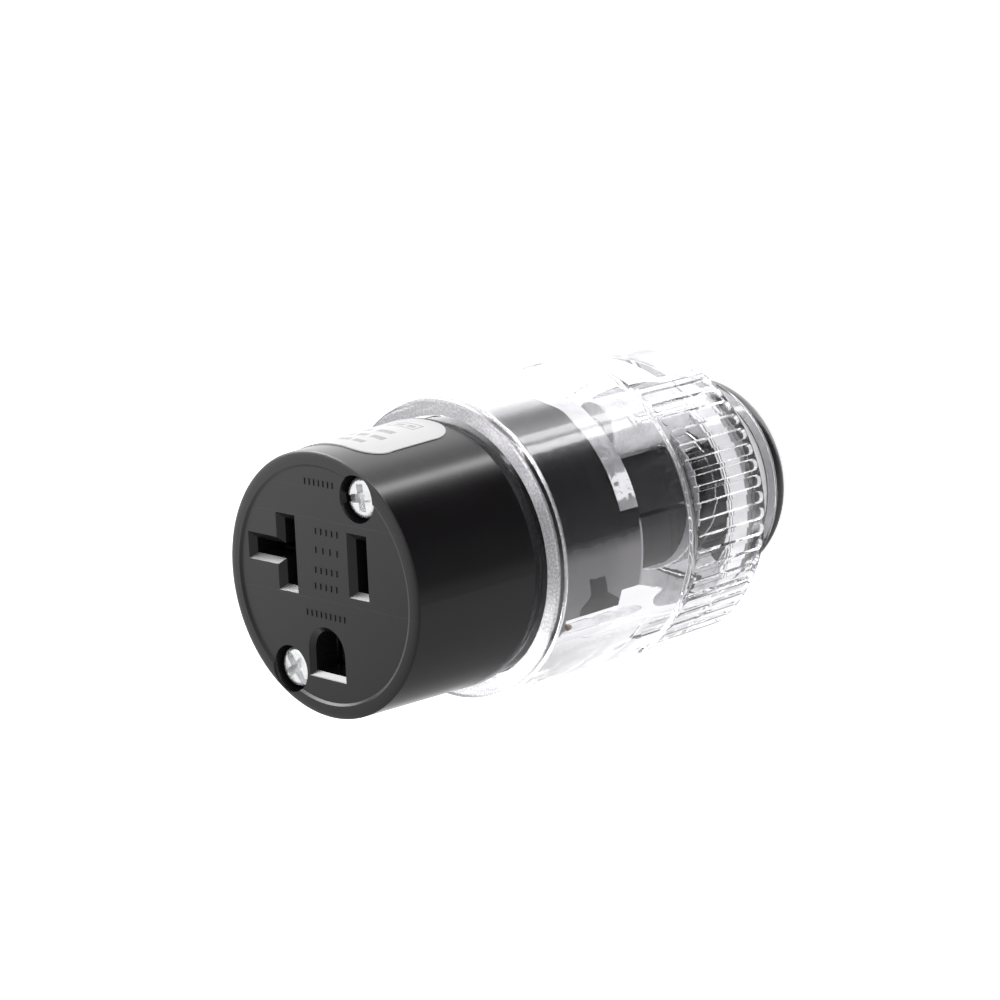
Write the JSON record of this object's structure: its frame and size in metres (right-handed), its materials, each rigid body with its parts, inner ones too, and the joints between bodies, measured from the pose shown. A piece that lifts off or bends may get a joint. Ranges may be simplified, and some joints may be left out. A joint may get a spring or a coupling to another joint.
{
  "type": "cord connector",
  "caption": "Straight-blade 20 A cord connector: black slotted front body, clear rear housing with a ribbed grip band, black cord gland.",
  "frame": {"origin": "centre of the cord end, at the bottom", "axes": "+Z from the cord end to the receptacle face, +Y from the ground slot towards the blade slots, +X towards the hot slot"},
  "size_m": [0.0412, 0.0412, 0.0755],
  "materials": {
    "black_body": "satin moulded black nylon, lightly glossy",
    "black_inner": "black moulded plastic seen through the clear housing",
    "black_gland": "glossy black",
    "clear_plastic": "clear polycarbonate, faint lavender tint",
    "steel": "zinc plated",
    "nickel": "nickel plated",
    "brass": "plain",
    "green_screw": "green dyed zinc",
    "silver_screw": "nickel plated steel",
    "seal_silicone": "soft light grey silicone",
    "label_paper": "white gloss label"
  },
  "bodies": {
    "root": {"front_body": "black_body", "contact_carrier": "black_inner", "carrier_strap": "nickel", "clear_housing": "clear_plastic", "upper_clamp_jaw": "black_inner", "lower_clamp_jaw": "black_inner", "cord_gland": "black_gland", "cord_seal": "seal_silicone", "assembly_screws": "steel", "threaded_inserts": "steel", "hot_contact": "brass", "neutral_contact": "brass", "ground_contact": "nickel", "hot_terminal_screw": "brass", "neutral_terminal_screw": "silver_screw", "ground_terminal_screw": "green_screw", "hot_pressure_plate": "nickel", "neutral_pressure_plate": "nickel", "ground_pressure_plate": "nickel", "rating_label": "label_paper"}
  },
  "joints": []
}
